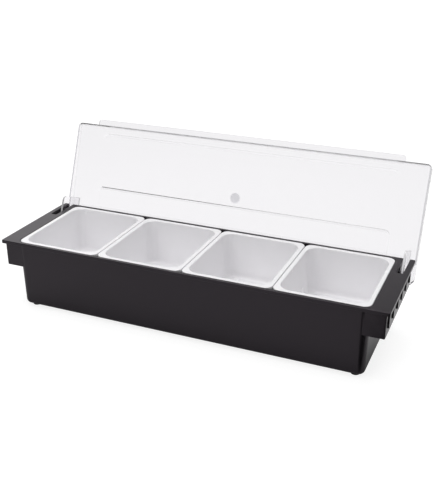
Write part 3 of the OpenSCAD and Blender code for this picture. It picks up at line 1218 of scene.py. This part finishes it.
    def tab(self) -> Shell:
        """The plate under the lid's right-hand end that carries the pins.

        Returns:
            The closed shell.
        """
        y, z = self.hinge.y, self.hinge.z
        front, rear = y - self.tab_front, y + self.tab_rear
        corners = [(front, z - self.tab_drop), (rear, z - self.tab_drop),
                   (rear, self.height(rear) - self.wall / 2),
                   (front, self.height(front) - self.wall / 2)]
        radii = [self.tab_corner, self.tab_rear, *[self.tab_root_corner] * 2]
        half = self.tab_thickness / 2
        return prism(Outline.filleted(corners, radii), self.hinge.tab_x - half,
                     self.hinge.tab_x + half, self.small_edge, self.small_edge, Plane.SIDE)

    def pin(self) -> Shell:
        """The stub pins on both faces of the right-hand tab, as one round bar.

        Returns:
            The closed shell.
        """
        circle = Outline.circle((self.hinge.y, self.hinge.z), self.hinge.pin_diameter / 2)
        return prism(circle, self.hinge.pin_from, self.hinge.pin_to, self.small_edge,
                     self.small_edge, Plane.SIDE)

    def clearance(self) -> list[Shell]:
        """What the rim's rear edge and the tub sweep through as the lid swings.

        Returns:
            The round sweep, and the gap under the rear wall.
        """
        circle = Outline.circle((self.hinge.y, self.hinge.z), self.swing_radius,
                                self.swing_steps)
        sweep = prism(circle, -self.half_x - OVERSHOOT, self.half_x + OVERSHOOT,
                      plane=Plane.SIDE)
        behind = Outline.block(self.half_x + OVERSHOOT, self.rear_gap_start,
                               self.rear + OVERSHOOT, self.gap_corner)
        rear_wall = prism(behind, self.bottom - OVERSHOOT, self.bottom + self.rear_gap)
        return [sweep, rear_wall]

    def build(self) -> bpy.types.Object:
        """The whole lid as one solid, standing open.

        Returns:
            The object.
        """
        outside = [self.shell(0.0), self.panel(self.front_panel, True, 0.0),
                   self.panel(self.rear_panel, False, 0.0), self.gate_mark(), self.lip()]
        hollow = [self.shell(self.wall), self.panel(self.front_panel, True, self.wall),
                  self.panel(self.rear_panel, False, self.wall), *self.clearance()]
        tabs = both_ends([self.tab(), self.pin()])

        def swing(shells: Sequence[Shell]) -> list[Shell]:
            """The shells swung open."""
            return [s.swung(-self.hinge.open_angle, self.hinge.y, self.hinge.z) for s in shells]

        return fuse("clear_lid", swing(outside), swing(hollow), swing(tabs))


@dataclass(frozen=True)
class Foot:
    """A round rubber foot under the tub."""

    number: int
    bevel: float = 0.8

    def build(self) -> bpy.types.Object:
        """The foot as one solid, in its CAD node's place.

        Returns:
            The object.
        """
        low, high = box_mm(f"foot_{self.number}")
        centre = ((low[0] + high[0]) / 2, (low[1] + high[1]) / 2)
        circle = Outline.circle(centre, (high[0] - low[0]) / 2)
        return fuse(f"rubber_foot_{self.number}", [prism(circle, low[2], high[2], self.bevel)])


# ---------------------------------------------------------------- studio


def rectangle(name: str, low: tuple[float, float], high: tuple[float, float],
              lift: float = 0.0) -> bpy.types.Object:
    """A flat rectangle that faces up, in metres.

    Args:
        name: The object's name.
        low: Its lowest corner.
        high: Its highest corner.
        lift: Its height.

    Returns:
        The object.
    """
    (x, y), (far_x, far_y) = low, high
    mesh = bpy.data.meshes.new(name)
    mesh.from_pydata([(x, y, lift), (far_x, y, lift), (far_x, far_y, lift), (x, far_y, lift)],
                     [], [(0, 1, 2, 3)])
    return linked(name, mesh)


@dataclass(frozen=True)
class Softbox:
    """A square area lamp that looks at the caddy, and shows in its gloss where mirrored is set."""

    name: str
    place: tuple[float, float, float]
    size: float
    power: float
    mirrored: bool = True
    target: tuple[float, float, float] = (0.0, 0.0, 0.08)

    def build(self) -> None:
        """The lamp, turned to its target; it never shows through the lid."""
        data = bpy.data.lights.new(self.name, "AREA")
        data.size, data.energy, data.shape = self.size, self.power, "SQUARE"
        lamp = linked(self.name, data)
        lamp.visible_glossy, lamp.visible_transmission = self.mirrored, False
        away = Vector(self.place) - Vector(self.target)
        lamp.matrix_world = Matrix.Translation(self.place) @ away.to_track_quat(
            "Z", "Y").to_matrix().to_4x4()


@dataclass(frozen=True)
class DarkReflectionCard:
    """A black card on the floor, seen only in reflections: painted shade in the tub's right-front
    corner.
    """

    low: tuple[float, float]
    high: tuple[float, float]
    lift: float = 0.0002
    colour: str = "#0a0a0a"

    def build(self) -> None:
        """The card, kept out of the camera's view and out of the light."""
        card = rectangle("dark_reflection_card", self.low, self.high, self.lift)
        made = bpy.data.materials.new("painted_dark_reflection")
        tree = cleared_tree(made)
        dull = add_node(tree, "ShaderNodeBsdfDiffuse", {"Color": linear(self.colour)})
        add_node(tree, "ShaderNodeOutputMaterial", {"Surface": dull.outputs[0]})
        card.data.materials.append(made)
        card.visible_camera = card.visible_diffuse = card.visible_shadow = False
        card.visible_transmission = False


@dataclass(frozen=True)
class Studio:
    """A plain pale floor, a white surround, soft lamps and the camera."""

    camera_place: tuple[float, float, float] = (0.36952, -0.82176, 0.49317)
    yaw: float = 23.038
    pitch: float = 23.873
    roll: float = 0.065
    focal_pixels: float = 791.33
    picture_height: float = 495.0
    sensor: float = 36.0
    floor_half: float = 12.0
    world_strength: float = 0.35
    backdrop: float = 1.1
    room: float = 0.6
    room_height: float = 0.3
    back_glow: float = 0.5
    back_span: tuple[float, float] = (-0.05, 0.1)
    paper_colour: str = "#dadada"
    floor_glow: float = 0.84
    shadow_share: float = 0.3
    lit_radius: float = 0.45
    white_radius: float = 1.0

    def camera(self) -> None:
        """The camera, turned up from straight down by 90 degrees less the pitch, then the yaw."""
        data = bpy.data.cameras.new("camera")
        data.sensor_fit, data.sensor_height = "VERTICAL", self.sensor
        data.lens = self.focal_pixels / self.picture_height * self.sensor
        camera = linked("camera", data)
        turn = (Matrix.Rotation(math.radians(self.yaw), 4, "Z")
                @ Matrix.Rotation(math.radians(90 - self.pitch), 4, "X")
                @ Matrix.Rotation(math.radians(self.roll), 4, "Z"))
        camera.matrix_world = Matrix.Translation(self.camera_place) @ turn
        bpy.context.scene.camera = camera

    def floor(self) -> None:
        """A pale matt floor that the camera sees as white where nothing shades it.

        In gloss alone its rear also glows by back_glow: painted light, seen only in reflections,
        that brightens the gloss on the tub's end walls and ears. The camera sees it directly or
        through the lid as dimmed paper with a glow, and further away as plain white.
        """
        half = self.floor_half
        floor = rectangle("floor", (-half, -half), (half, half))
        made = bpy.data.materials.new("pale_paper")
        tree = cleared_tree(made)
        path = add_node(tree, "ShaderNodeLightPath").outputs
        seen = add_node(tree, "ShaderNodeMath", {
            0: path["Is Camera Ray"], 1: path["Is Transmission Ray"]}, operation="MAXIMUM")
        place = add_node(tree, "ShaderNodeTexCoord").outputs["Object"]
        away = add_node(tree, "ShaderNodeVectorMath", {0: place}, operation="LENGTH")
        far = add_node(tree, "ShaderNodeMapRange", {
            "Value": away.outputs["Value"], "From Min": self.lit_radius,
            "From Max": self.white_radius}, interpolation_type="SMOOTHSTEP")
        paper = add_node(tree, "ShaderNodeBsdfDiffuse", {"Color": linear(self.paper_colour)})
        # Painted light: the floor's rear glows in reflections alone, brightening the gloss on the
        # tub's end walls and ears.
        along = add_node(tree, "ShaderNodeSeparateXYZ", {0: place}).outputs["Y"]
        behind = add_node(tree, "ShaderNodeMapRange", {
            "Value": along, "From Min": self.back_span[0], "From Max": self.back_span[1],
            "To Max": self.back_glow})
        painted_rear_strength = add_node(tree, "ShaderNodeMath", {
            0: behind.outputs["Result"], 1: path["Is Glossy Ray"]}, operation="MULTIPLY")
        painted_rear_glow = add_node(tree, "ShaderNodeEmission", {"Strength": painted_rear_strength.outputs[0]})
        paper_and_painted_glow = add_node(tree, "ShaderNodeAddShader", {0: paper.outputs[0], 1: painted_rear_glow.outputs[0]})
        dimmed = add_node(tree, "ShaderNodeBsdfDiffuse", {
            "Color": (self.shadow_share,) * 3 + (1.0,)})
        glow = add_node(tree, "ShaderNodeEmission", {"Strength": self.floor_glow})
        near = add_node(tree, "ShaderNodeAddShader", {0: dimmed.outputs[0], 1: glow.outputs[0]})
        white = add_node(tree, "ShaderNodeEmission", {"Strength": self.backdrop})
        looks = add_node(tree, "ShaderNodeMixShader", {
            0: far.outputs["Result"], 1: near.outputs[0], 2: white.outputs[0]})
        total = add_node(tree, "ShaderNodeMixShader", {
            0: seen.outputs[0], 1: paper_and_painted_glow.outputs[0], 2: looks.outputs[0]})
        add_node(tree, "ShaderNodeOutputMaterial", {"Surface": total.outputs[0]})
        floor.data.materials.append(made)

    def world(self) -> None:
        """A white backdrop under a darker ceiling, and a soft, even, weaker light.

        Through the lid the backdrop's strength goes from white at the horizon to room where the
        way looked along climbs room_height.
        """
        world = bpy.data.worlds.new("white_surround")
        bpy.context.scene.world = world
        tree = cleared_tree(world)
        way = add_node(tree, "ShaderNodeTexCoord").outputs["Generated"]
        climb = add_node(tree, "ShaderNodeSeparateXYZ", {0: way}).outputs["Z"]
        backdrop = add_node(tree, "ShaderNodeMapRange", {
            "Value": climb, "From Max": self.room_height, "To Min": self.backdrop,
            "To Max": self.room}, interpolation_type="SMOOTHSTEP")
        path = add_node(tree, "ShaderNodeLightPath").outputs
        through = add_node(tree, "ShaderNodeMapRange", {
            "Value": path["Is Transmission Ray"], "To Min": self.world_strength,
            "To Max": backdrop.outputs["Result"]})
        strength = add_node(tree, "ShaderNodeMapRange", {
            "Value": path["Is Camera Ray"], "To Min": through.outputs["Result"],
            "To Max": self.backdrop})
        glow = add_node(tree, "ShaderNodeBackground", {
            "Color": (1, 1, 1, 1), "Strength": strength.outputs[0]})
        add_node(tree, "ShaderNodeOutputWorld", {"Surface": glow.outputs[0]})

    def build(self) -> None:
        """Camera, floor, surround and lamps, with the plain view transform."""
        bpy.context.scene.view_settings.view_transform = "Standard"
        self.camera()
        self.floor()
        self.world()
        for lamp in (Softbox("key_softbox", (-1.3, 1.4, 1.3), 1.4, 7.0),
                     Softbox("fill_softbox", (-0.6, -1.8, 1.4), 1.2, 8.0, mirrored=False),
                     Softbox("top_softbox", (0.0, 0.2, 2.0), 1.6, 24.0)):
            lamp.build()
        # Painted shade: a black card that only reflections see darkens the gloss on the tub's
        # right-front corner.
        DarkReflectionCard((0.225, -0.6), (0.8, -0.08)).build()


def main() -> None:
    """Builds the studio and each sub-assembly."""
    logging.basicConfig(level=logging.INFO, format="%(name)s: %(message)s")
    Studio().build()
    hinge = Hinge.from_joints(frame["joints"])
    low, high = box_mm("base")
    base = MouldedBase(high[0], high[1], low[2], high[2], hinge)
    black = TexturedBlackPlastic("black_abs_textured_mould")
    dress(base.build(), black, "caddy", ["base"])
    white = GlossyWhitePlastic("white_polypropylene_polished_mould")
    rubber = FootRubber("black_rubber_moulded")
    for number in (1, 2, 3, 4):
        tray = Tray.from_frame(number, base.rim_under + SEAT_GAP)
        dress(tray.build(), white, f"tray_{number}", [f"tray_{number}"])
        dress(Foot(number).build(), rubber, "caddy", [f"foot_{number}"])
    lid = ClearLid(base.half_length, base.rim_top + LID_GAP, hinge)
    clear = ClearLidPlastic("clear_san_polished_mould", lid)
    dress(lid.build(), clear, "lid", ["lid"])


if __name__ == "__main__":
    main()
